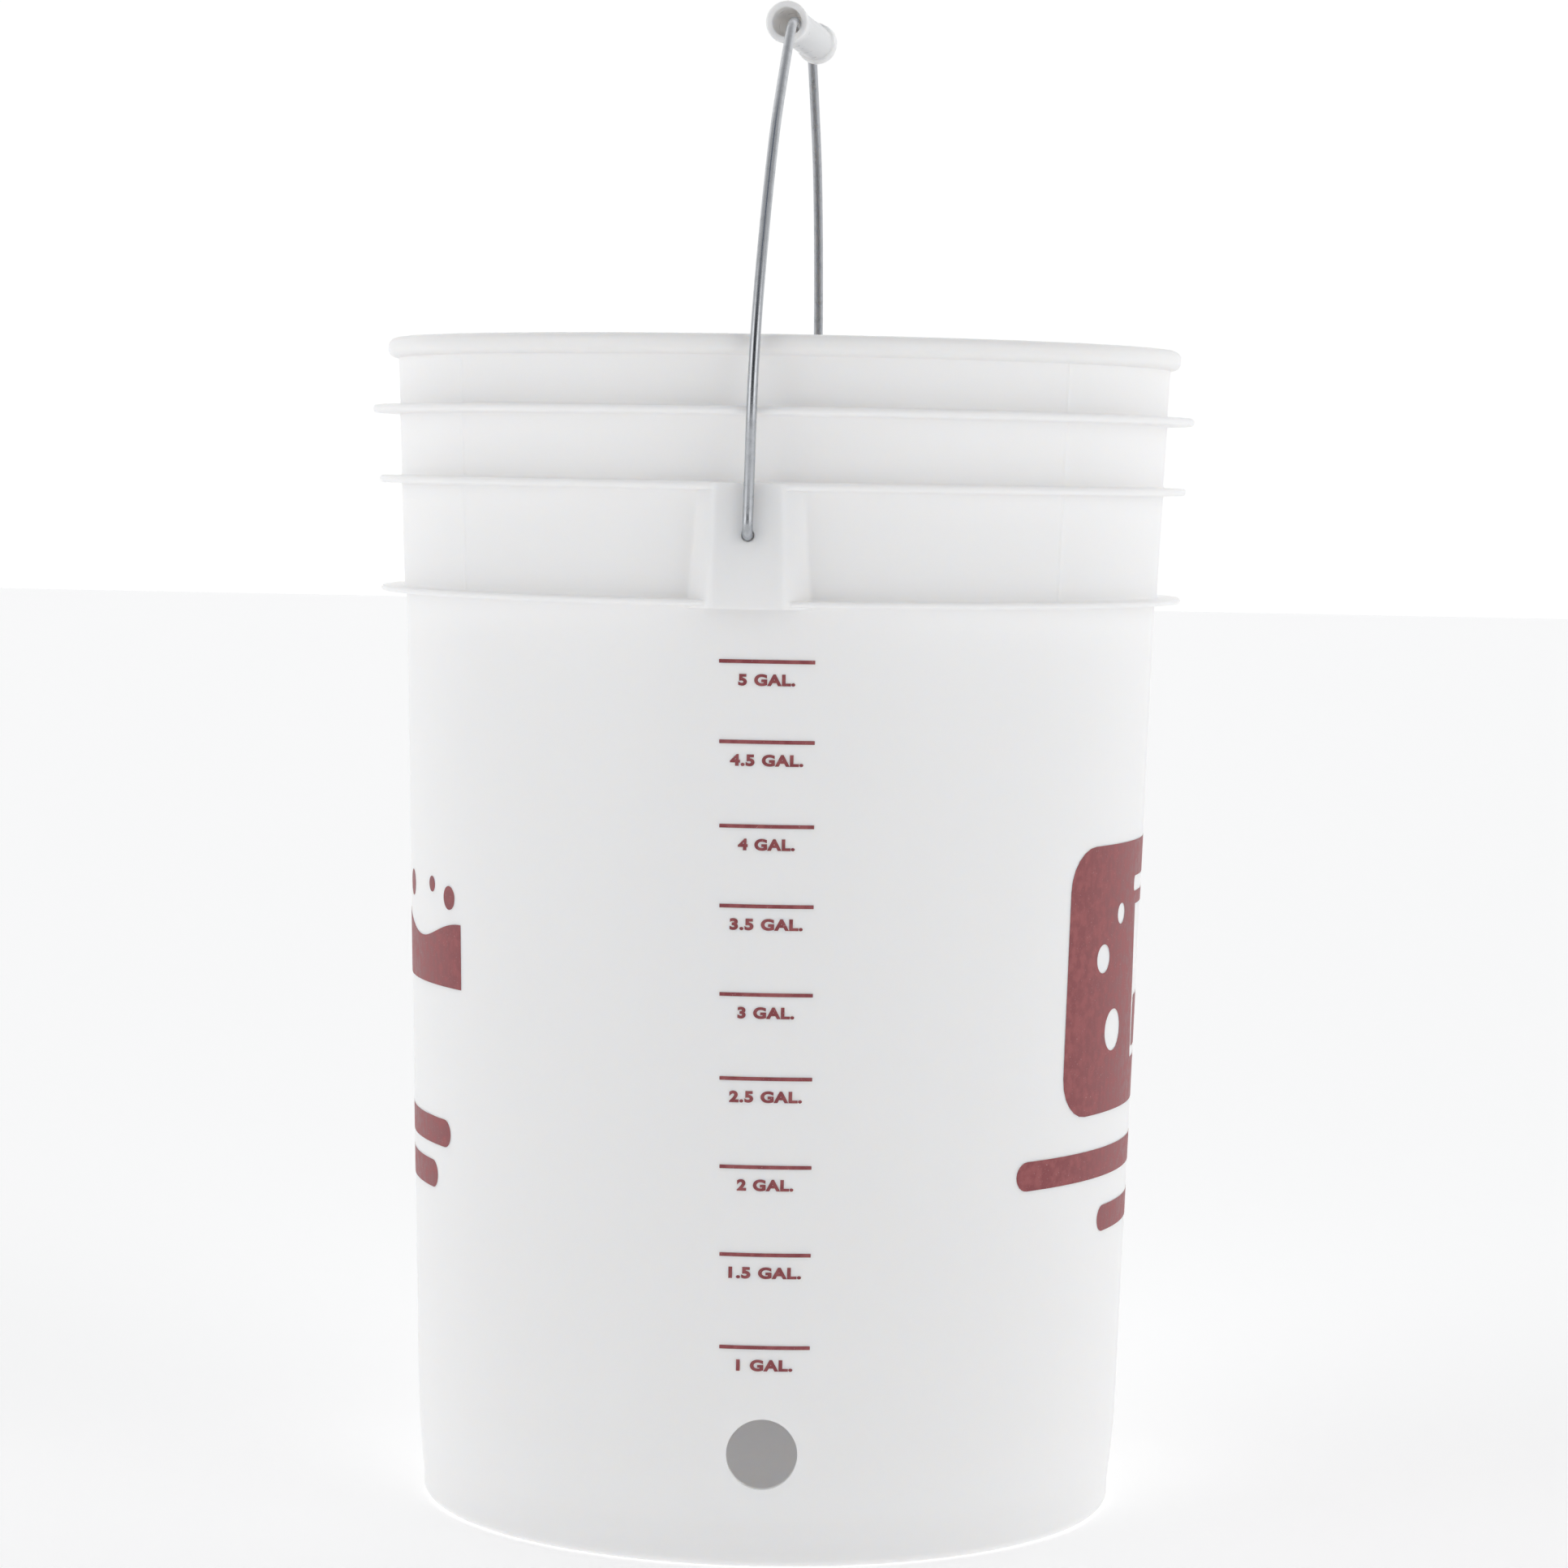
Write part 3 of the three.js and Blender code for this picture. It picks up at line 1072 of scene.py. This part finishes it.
@dataclass
class SideEmblem(Artwork):
    """A plain pictogram of a bucket with rising bubbles, over two plain bars."""

    azimuth: float = 89.0
    height: float = 211 * MM
    width: float = 168 * MM
    tall: float = 102 * MM

    def build(self) -> bpy.types.Object:
        """Make the printed emblem.

        Returns:
            The printed piece.
        """
        body = bmesh.new()
        pail = [(-21 * MM, 26 * MM), (21 * MM, 26 * MM), (16 * MM, -34 * MM), (-16 * MM, -34 * MM)]
        lid = rounded_bar(50 * MM, 6 * MM, 2 * MM, 0, 34 * MM)
        bubbles = [
            disc(x * MM, y * MM, r * MM)
            for x, y, r in ((-46, -20, 8), (-58, 8, 5.5), (-42, 24, 4), (46, -16, 6.5),
                            (60, 4, 8.5), (44, 22, 5))
        ]
        panel = rounded_bar(self.width, self.tall, 16 * MM)
        art = self.filled([panel, pail, lid, *bubbles])
        self.wrap(art, self.azimuth, self.height, body)
        level = self.filled([rounded_bar(28 * MM, 20 * MM, 1.5 * MM)])
        self.wrap(level, self.azimuth, self.height - 20 * MM, body)
        for drop, width, tall in ((70 * MM, 214 * MM, 11 * MM), (92 * MM, 104 * MM, 10 * MM)):
            bar = self.filled([rounded_bar(width, tall, tall / 2)])
            self.wrap(bar, self.azimuth, self.height - drop, body)
        return self.finish("side_emblem_print", body)


@dataclass
class SideBand(Artwork):
    """A plain band of liquid with bubbles over it, above two plain bars."""

    azimuth: float = -90.0
    height: float = 218 * MM
    half: float = 95 * MM

    def build(self) -> bpy.types.Object:
        """Make the printed band.

        Returns:
            The printed piece.
        """
        body = bmesh.new()
        steps = np.linspace(-self.half, self.half, 97)
        crest = [(x, 7 * MM + 3.5 * MM * math.sin(x / (12 * MM))) for x in steps]
        trough = [(x, -14 * MM) for x in steps[::-1]]
        self.wrap(self.filled([crest + trough]), self.azimuth, self.height, body)
        bubbles = [
            disc(x * MM, y * MM, r * MM)
            for x, y, r in ((86, 20, 4.5), (70, 24, 3), (40, 22, 5), (5, 26, 3.5), (-30, 21, 4.5),
                            (-62, 25, 3), (-84, 20, 4))
        ]
        self.wrap(self.filled(bubbles), self.azimuth, self.height, body)
        for drop, width, tall in ((70 * MM, 168 * MM, 10.5 * MM), (87 * MM, 142 * MM, 10.5 * MM)):
            bar = self.filled([rounded_bar(width, tall, tall / 2)])
            self.wrap(bar, self.azimuth, self.height - drop, body)
        return self.finish("side_band_print", body)


# ---- Bail and grip -----------------------------------------------------------------------


@dataclass
class BailWire:
    """The wire bail: one length of round wire with an upset head on each end."""

    radius: float = 1.88 * MM
    head_radius: float = 3.45 * MM
    head_length: float = 1.6 * MM
    end: float = 150.4 * MM
    pivot: float = 377 * MM
    lean: float = 1.36
    top: float = 192.1
    sides: int = 24
    steps: int = 560
    half_path: tuple[tuple[float, float], ...] = (
        (150.4, 0), (153.4, 0), (156.4, 0), (158.0, 0.8), (158.8, 2.8), (158.9, 8), (159.4, 20),
        (161.2, 43), (160.6, 56), (156.8, 73), (150.2, 89), (141.2, 105), (128.9, 123.6),
        (108.6, 147.6), (86.1, 166), (68.9, 178.6), (61.0, 184.2), (54.5, 188.4), (47.5, 191.2),
    )

    def centre_line(self) -> np.ndarray:
        """Evenly spaced points along the wire, as (y, height over the pivot).

        Returns:
            One row of (y, height) for each point.
        """
        half = [(-y, z) for y, z in self.half_path]
        top = [(y, self.top) for y in (-36, -12, 12, 36)]
        knots = np.array(half + top + [(-y, z) for y, z in reversed(half)]) * MM
        ends = [2 * knots[0] - knots[1], *knots, 2 * knots[-1] - knots[-2]]
        points = []
        for p0, p1, p2, p3 in zip(ends, ends[1:], ends[2:], ends[3:]):
            points += [catmull_rom(p0, p1, p2, p3, i / 24) for i in range(24)]
        points = np.array([*points, knots[-1]])
        length = np.concatenate([[0], np.cumsum(np.linalg.norm(np.diff(points, axis=0), axis=1))])
        even = np.linspace(0, length[-1], self.steps + 1)
        return np.stack([np.interp(even, length, points[:, i]) for i in (0, 1)], axis=1)

    def build(self) -> bpy.types.Object:
        """Make the wire and dress it.

        Returns:
            The wire.
        """
        line = self.centre_line()
        tangent = np.gradient(line, axis=0)
        tangent /= np.linalg.norm(tangent, axis=1)[:, None]
        run = np.concatenate([[0], np.cumsum(np.linalg.norm(np.diff(line, axis=0), axis=1))])
        from_end = np.minimum(run, run[-1] - run)
        head = np.clip((self.head_length - from_end) / (0.25 * self.head_length), 0, 1)
        radii = self.radius + (self.head_radius - self.radius) * np.sqrt(head)
        radii[[0, -1]] = self.head_radius * 0.82
        around = np.linspace(0, math.tau, self.sides, endpoint=False)
        rings = np.empty((len(line), self.sides, 3))
        rings[:, :, 0] = radii[:, None] * np.cos(around)
        rings[:, :, 1] = line[:, :1] - radii[:, None] * np.sin(around) * tangent[:, 1:]
        rings[:, :, 2] = line[:, 1:] + radii[:, None] * np.sin(around) * tangent[:, :1]
        count = self.sides
        faces = []
        for i in range(len(line) - 1):
            for j in range(count):
                k = (j + 1) % count
                faces.append((i * count + j, i * count + k, (i + 1) * count + k, (i + 1) * count + j))
        last = (len(line) - 1) * count
        faces += [tuple(range(count - 1, -1, -1)), tuple(range(last, last + count))]
        wire = mesh_object("bail_handle_wire", rings.reshape(-1, 3), faces)
        self.label_points(wire, run, around)
        tilt = Matrix.Rotation(math.radians(self.lean), 4, "Y")
        wire.data.transform(Matrix.Translation((0, 0, self.pivot)) @ tilt)
        if signed_volume(wire.data) < 0:
            wire.data.flip_normals()
        sharpen(wire, 50)
        wire.data.materials.append(ZincWire().build())
        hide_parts("bail_wire")
        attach(wire, Body.BAIL.value)
        return wire

    def label_points(self, wire: bpy.types.Object, run: np.ndarray, around: np.ndarray) -> None:
        """Store each point's place along and round the wire for the finish to read.

        Args:
            wire: The wire.
            run: Distance along the wire.
            around: Angles around it.
        """
        along = wire.data.attributes.new("along", "FLOAT", "POINT")
        along.data.foreach_set("value", np.repeat(run, self.sides).astype(np.float32))
        turn = wire.data.attributes.new("around", "FLOAT", "POINT")
        folded = np.abs(around - math.pi) / math.pi
        turn.data.foreach_set("value", np.tile(folded, len(run)).astype(np.float32))


def catmull_rom(p0: np.ndarray, p1: np.ndarray, p2: np.ndarray, p3: np.ndarray, t: float) -> np.ndarray:
    """Centripetal Catmull-Rom point between p1 and p2.

    Args:
        p0: The knot before.
        p1: The stretch's first knot.
        p2: The stretch's last knot.
        p3: The knot after.
        t: How far along the stretch, from 0 to 1.

    Returns:
        The point.
    """
    d0, d1, d2 = (math.sqrt(float(np.linalg.norm(b - a))) for a, b in ((p0, p1), (p1, p2), (p2, p3)))
    m1 = (p1 - p0) / d0 - (p2 - p0) / (d0 + d1) + (p2 - p1) / d1
    m2 = (p2 - p1) / d1 - (p3 - p1) / (d1 + d2) + (p3 - p2) / d2
    m1, m2 = m1 * d1, m2 * d1
    a = 2 * (p1 - p2) + m1 + m2
    b = -3 * (p1 - p2) - 2 * m1 - m2
    return ((a * t + b) * t + m1) * t + p1


def signed_volume(mesh: bpy.types.Mesh) -> float:
    """Volume inside a closed mesh, negative if its faces point inwards.

    Args:
        mesh: A closed mesh.

    Returns:
        Its volume, negative where its faces point inwards.
    """
    body = bmesh.new()
    body.from_mesh(mesh)
    volume = body.calc_volume(signed=True)
    body.free()
    return volume


@dataclass
class RollerGrip:
    """The roller grip: a thin moulded tube with bell ends."""

    length: float = 86 * MM
    tube_radius: float = 6.75 * MM
    end_radius: float = 8.0 * MM
    bore: float = 5.5 * MM
    flare: float = 7 * MM
    lip: float = 0.7 * MM
    skew: float = 3.7
    sag: float = 0.3 * MM
    seam: float = 0.08 * MM

    def outline(self) -> Outline:
        """Section of one wall of the tube, closed on itself.

        Returns:
            The points as (radius, distance along the grip).
        """
        half, lip, turn = self.length / 2, self.lip, 0.5 * MM
        shoulder = half - self.flare
        rise = self.end_radius - 0.25 * MM
        step = [
            *arc(self.tube_radius + turn, shoulder - turn, turn, 180, 90, 4),
            *arc(rise - turn, shoulder + turn, turn, -90, 0, 5),
        ]
        top = [*step, *arc(self.end_radius - lip, half - lip, lip, 0, 90, 5)]
        mouth = arc(self.bore + lip * 0.7, half - lip * 0.7, lip * 0.7, 90, 180, 4)
        upper = top + mouth
        lower = [(r, -z) for r, z in reversed(upper)]
        outside = spread(lower[-1], upper[0], 5 * MM)
        inside = spread(upper[-1], lower[0], 5 * MM)
        return lower + outside + upper + inside

    def build(self) -> bpy.types.Object:
        """Make the grip and dress it.

        Returns:
            The grip.
        """
        columns = np.linspace(0, math.tau, 96, endpoint=False)
        grid = lathe_points(self.outline(), columns)
        ridge = self.seam * np.exp(-(np.sin(columns) / 0.04) ** 2)
        outside = np.hypot(grid[:, :, 0], grid[:, :, 1]) > self.bore + 0.9 * MM
        swell = 1 + outside * ridge / self.tube_radius
        grid[:, :, 0] *= swell
        grid[:, :, 1] *= swell
        grip = closed_lathe("roller_grip", grid, None)
        bail = BailWire()
        lie = Matrix.Rotation(math.radians(-90), 4, "X")
        skew = Matrix.Rotation(math.radians(-self.skew), 4, "Z")
        rise = Matrix.Translation((0, 0, bail.top * MM - self.sag))
        tilt = Matrix.Rotation(math.radians(bail.lean), 4, "Y")
        grip.data.transform(Matrix.Translation((0, 0, bail.pivot)) @ tilt @ rise @ skew @ lie)
        sharpen(grip, 50)
        finish = Polyethylene(
            "grip_polyethylene", colour=(0.94, 0.935, 0.92), depth=6 * MM,
            roughness=(0.26, 0.38), grain_strength=0.015,
            specks=False,
        )
        grip.data.materials.append(finish.build())
        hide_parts("handle_grip")
        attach(grip, Body.GRIP.value)
        return grip


# ---- Studio ------------------------------------------------------------------------------


@dataclass
class Studio:
    """The pale floor, the soft light and the camera."""

    distance: float = 1763.7 * MM
    eye_height: float = 399.6 * MM
    azimuth: float = 4.45
    yaw: float = 0.082
    pitch: float = 3.94
    roll: float = 1.008
    lens: float = 103.93
    front: float = 0.1
    side: float = 2.08
    back: float = 1.02
    back_lift: float = 0.12
    ceiling: float = 0.62
    strip_colour: tuple[float, float, float, float] = (0.2, 0.25, 0.36, 1)
    strip: tuple[float, float] = (0.09, 0.22)
    box_across: tuple[float, float] = (0.4, 0.75)
    box_depth: tuple[float, float] = (-0.7, 0.15)
    box_rear: float = 0.35
    back_depth: tuple[float, float] = (0.0, 0.5)
    lift_height: tuple[float, float] = (0.12, 0.4)
    lift_depth: tuple[float, float] = (0.2, 0.6)
    ceiling_height: tuple[float, float] = (0.55, 0.93)

    def camera(self) -> bpy.types.Object:
        """Place the camera.

        Returns:
            The camera.
        """
        yaw, pitch, roll = (math.radians(a) for a in (self.yaw, self.pitch, self.roll))
        ahead = Vector((math.sin(yaw) * math.cos(pitch), math.cos(yaw) * math.cos(pitch), -math.sin(pitch)))
        level = Vector((math.cos(yaw), -math.sin(yaw), 0))
        up = level.cross(ahead)
        right = math.cos(roll) * level + math.sin(roll) * up
        above = -math.sin(roll) * level + math.cos(roll) * up
        axes = Matrix((right, above, -ahead)).transposed().to_4x4()
        stand = Matrix.Translation((0, -self.distance, self.eye_height)) @ axes
        data = bpy.data.cameras.new("camera")
        data.lens = self.lens
        data.sensor_width = 36
        data.clip_end = 100
        camera = bpy.data.objects.new("camera", data)
        bpy.context.scene.collection.objects.link(camera)
        camera.matrix_world = Matrix.Rotation(math.radians(self.azimuth), 4, "Z") @ stand
        bpy.context.scene.camera = camera
        return camera

    def floor(self) -> bpy.types.Object:
        """Lay the pale floor.

        Returns:
            The floor.
        """
        half = 12.0
        points = np.array([(-half, -half, 0), (half, -half, 0), (half, half, 0), (-half, half, 0)])
        floor = mesh_object("floor", points, [(0, 1, 2, 3)])
        sheet = NodeSheet("pale_floor")
        sheet.principled(
            Base_Color=(0.9, 0.9, 0.9, 1), Roughness=0.9,
            Emission_Color=(1, 1, 1, 1), Emission_Strength=0.27,
        )
        floor.data.materials.append(sheet.material)
        return floor

    def light(self) -> None:
        """Surround the object with soft light, brightest at the sides and dimmer above and in front."""
        world = bpy.data.worlds.new("studio")
        bpy.context.scene.world = world
        world.use_nodes = True
        tree = world.node_tree
        background = tree.nodes["Background"]
        place = tree.nodes.new("ShaderNodeTexCoord")
        split = tree.nodes.new("ShaderNodeSeparateXYZ")
        tree.links.new(place.outputs["Generated"], split.inputs[0])
        across = self.combine(tree, "ABSOLUTE", split.outputs["X"], 0.0)
        beside = self.ramp(tree, across, *self.strip, 0.0, 1.0)
        behind = self.ramp(tree, split.outputs["Y"], *self.back_depth, 0.0, 1.0)
        boxes = self.ramp(tree, across, *self.box_across, self.front, self.side)
        fade = self.ramp(tree, split.outputs["Y"], *self.box_depth, 1.0, self.box_rear)
        boxes = self.combine(tree, "MULTIPLY", boxes, fade)
        lifted = self.ramp(tree, split.outputs["Z"], *self.lift_height, 0.0, self.back_lift)
        far = self.ramp(tree, split.outputs["Y"], *self.lift_depth, 0.0, 1.0)
        lifted = self.combine(tree, "MULTIPLY", lifted, far)
        back = self.combine(tree, "MULTIPLY", behind, self.combine(tree, "ADD", lifted, self.back))
        level = self.combine(tree, "MAXIMUM", boxes, back)
        high = self.ramp(tree, split.outputs["Z"], *self.ceiling_height, 0.0, 1.0)
        change = self.combine(tree, "MULTIPLY", self.combine(tree, "SUBTRACT", self.ceiling, level), high)
        mix = tree.nodes.new("ShaderNodeMix")
        mix.data_type = "RGBA"
        mix.inputs[6].default_value = self.strip_colour
        mix.inputs[7].default_value = (1, 1, 1, 1)
        tree.links.new(self.combine(tree, "MAXIMUM", beside, behind), mix.inputs[0])
        tree.links.new(mix.outputs[2], background.inputs["Color"])
        tree.links.new(self.combine(tree, "ADD", level, change), background.inputs["Strength"])

    def combine(self, tree: bpy.types.NodeTree, operation: str, first: object,
            second: object) -> bpy.types.NodeSocket:
        """Join two values by an operation.

        Args:
            tree: The node tree.
            operation: The math node's operation.
            first: First value or socket.
            second: Second value or socket.

        Returns:
            The result.
        """
        made = tree.nodes.new("ShaderNodeMath")
        made.operation = operation
        for value, socket in zip((first, second), made.inputs):
            if isinstance(value, bpy.types.NodeSocket):
                tree.links.new(value, socket)
            else:
                socket.default_value = value
        return made.outputs[0]

    def ramp(self, tree: bpy.types.NodeTree, value: bpy.types.NodeSocket, low: float, high: float,
             first: float, last: float) -> bpy.types.NodeSocket:
        """Map a value smoothly from low..high to first..last.

        Args:
            tree: The node tree.
            value: The value that is mapped.
            low: Where the ramp starts.
            high: Where it ends.
            first: Result at the start.
            last: Result at the end.

        Returns:
            The result.
        """
        made = tree.nodes.new("ShaderNodeMapRange")
        made.interpolation_type = "SMOOTHSTEP"
        made.inputs["From Min"].default_value = low
        made.inputs["From Max"].default_value = high
        made.inputs["To Min"].default_value = first
        made.inputs["To Max"].default_value = last
        tree.links.new(value, made.inputs["Value"])
        return made.outputs["Result"]

    def build(self) -> None:
        """Set up the floor, the light, the camera and a plain tone curve."""
        self.camera()
        self.floor()
        self.light()
        bpy.context.scene.view_settings.view_transform = "Standard"
        bpy.context.scene.cycles.diffuse_bounces = 12
        bpy.context.scene.cycles.max_bounces = 16


def report(step: str, build: Callable[[], bpy.types.Object]) -> None:
    """Build one piece and log how large it is."""
    obj = build()
    LOG.info("%s: %s, %d faces", step, obj.name, len(obj.data.polygons))


def main() -> None:
    """Build the bucket's pieces in order, then the studio."""
    logging.basicConfig(level=logging.INFO, format="%(name)s: %(message)s")
    pail = PailShell()
    ink = ScreenInk().build()
    Studio().build()
    report("shell", pail.build)
    report("volume scale", VolumeScale(pail, ink).build)
    report("emblem", SideEmblem(pail, ink).build)
    report("band", SideBand(pail, ink).build)
    report("bail", BailWire().build)
    report("grip", RollerGrip().build)


if __name__ == "__main__":
    main()
